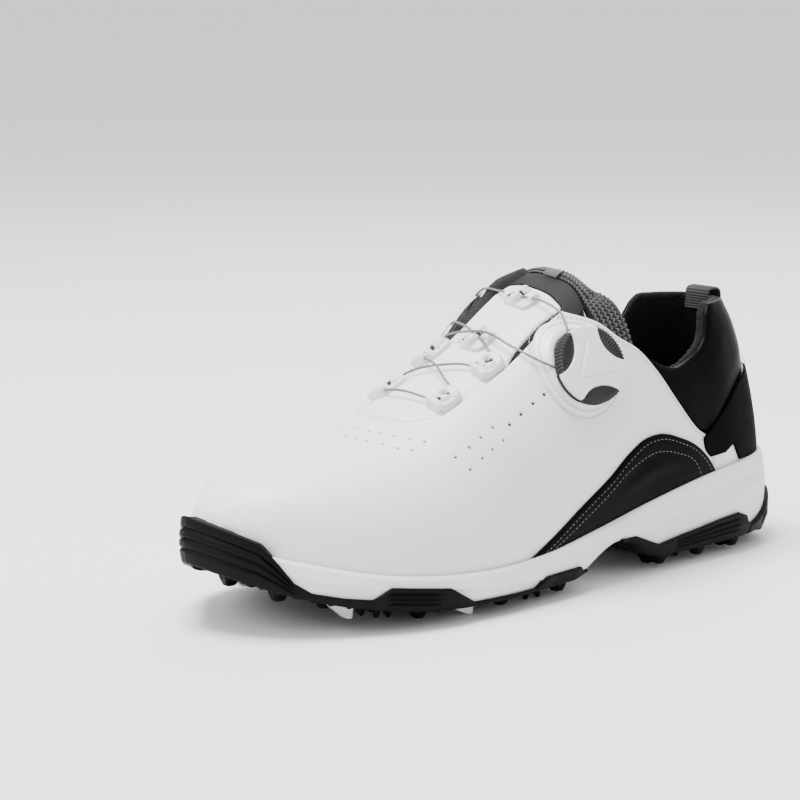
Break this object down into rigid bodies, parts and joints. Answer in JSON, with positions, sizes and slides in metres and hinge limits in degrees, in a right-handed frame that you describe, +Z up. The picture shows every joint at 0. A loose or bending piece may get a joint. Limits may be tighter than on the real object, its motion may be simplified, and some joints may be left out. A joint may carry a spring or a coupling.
{
  "type": "golf shoe",
  "caption": "Left low-cut golf shoe with leather upper, dial lacing with steel lace and moulded guides, padded collar, cleated sole with toe bumper.",
  "frame": {"origin": "centre of the bounding box in X and Y, on the ground under the cleat tips", "axes": "toe points to -X, the outer (lateral) side with the dial to -Y, up is +Z"},
  "size_m": [0.3009, 0.1096, 0.1212],
  "materials": {
    "white_leather": "full-grain white leather, satin, fine grain",
    "black_leather": "glossy black coated leather",
    "matte_black": "matte black moulded overlay with fine texture",
    "lining": "black perforated padded lining",
    "light_lining": "light textile lining",
    "knit": "dark ribbed knit",
    "tongue_band": "smooth dark grey coated band",
    "foam": "dark textile over foam",
    "board": "stiff fibre board",
    "midsole": "white moulded midsole, soft satin",
    "outsole": "black moulded outsole, satin",
    "cleat": "black soft-spike plastic",
    "insert": "dark moulded thread insert",
    "claw": "light grey moulded claw",
    "guide": "white moulded guide, satin",
    "lace": "grey coated steel lace",
    "dial_white": "white moulded plastic, soft gloss",
    "dial_dark": "dark grey moulded plastic",
    "grip": "dark grey ribbed rubber",
    "metal": "turned steel",
    "webbing": "dark ribbed webbing"
  },
  "bodies": {
    "root": {"vamp_and_quarters": "white_leather", "collar_panel": "black_leather", "heel_foxing": "white_leather", "heel_strap": "matte_black", "saddle_lateral": "black_leather", "saddle_medial": "black_leather", "heel_counter": "board", "toe_puff": "board", "collar_lining": "lining", "vamp_lining": "light_lining", "tongue_panel": "white_leather", "tongue_pad": "foam", "tongue_band": "tongue_band", "tongue_knit": "knit", "gore_lateral": "knit", "gore_medial": "knit", "guide_lateral_front": "guide", "guide_lateral_rear": "guide", "guide_medial_front": "guide", "guide_medial_rear": "guide", "guide_tongue_lower": "guide", "guide_tongue_upper": "guide", "lace_anchor_medial": "guide", "dial_flange": "guide", "dial_housing": "dial_dark", "dial_axle_screw": "metal", "pull_loop": "webbing", "lace": "lace", "midsole": "midsole", "shank": "metal", "outsole_forefoot": "outsole", "outsole_heel": "outsole", "heel_bumper": "outsole", "lasting_board": "board", "sockliner": "foam", "cleat_insert_lateral_front": "insert", "cleat_lateral_front": "cleat", "cleat_insert_lateral_rear": "insert", "cleat_lateral_rear": "cleat", "cleat_insert_medial_front": "insert", "cleat_medial_front": "cleat", "cleat_insert_medial_rear": "insert", "cleat_medial_rear": "cleat", "cleat_insert_centre": "insert", "cleat_centre": "cleat", "cleat_insert_heel_lateral": "insert", "cleat_heel_lateral": "cleat", "cleat_insert_heel_medial": "insert", "cleat_heel_medial": "cleat", "claw_lateral_front": "claw", "claw_lateral_rear": "claw", "claw_medial_front": "claw", "claw_medial_rear": "claw"},
    "bush": {"dial_axle_bush": "metal"},
    "knob": {"dial_knob": "dial_white", "dial_grip": "grip", "dial_pawl_disc": "dial_white"},
    "spool": {"dial_spool": "dial_dark"}
  },
  "joints": [
    {"name": "dial_pull", "type": "slide", "parent": "root", "child": "bush", "axis": [-0.1, -0.9052, 0.4131], "range_m": [0, 0.002]},
    {"name": "dial_turn", "type": "hinge", "parent": "bush", "child": "knob", "pos_m": [0.02337, -0.02987, 0.0869], "axis": [-0.1, -0.9052, 0.4131], "continuous": true},
    {"name": "spool_turn", "type": "hinge", "parent": "root", "child": "spool", "pos_m": [0.02337, -0.02987, 0.0869], "axis": [-0.1, -0.9052, 0.4131], "continuous": true}
  ],
  "couplings": [
    {"joint": "spool_turn", "follows": "dial_turn", "ratio": 1}
  ]
}
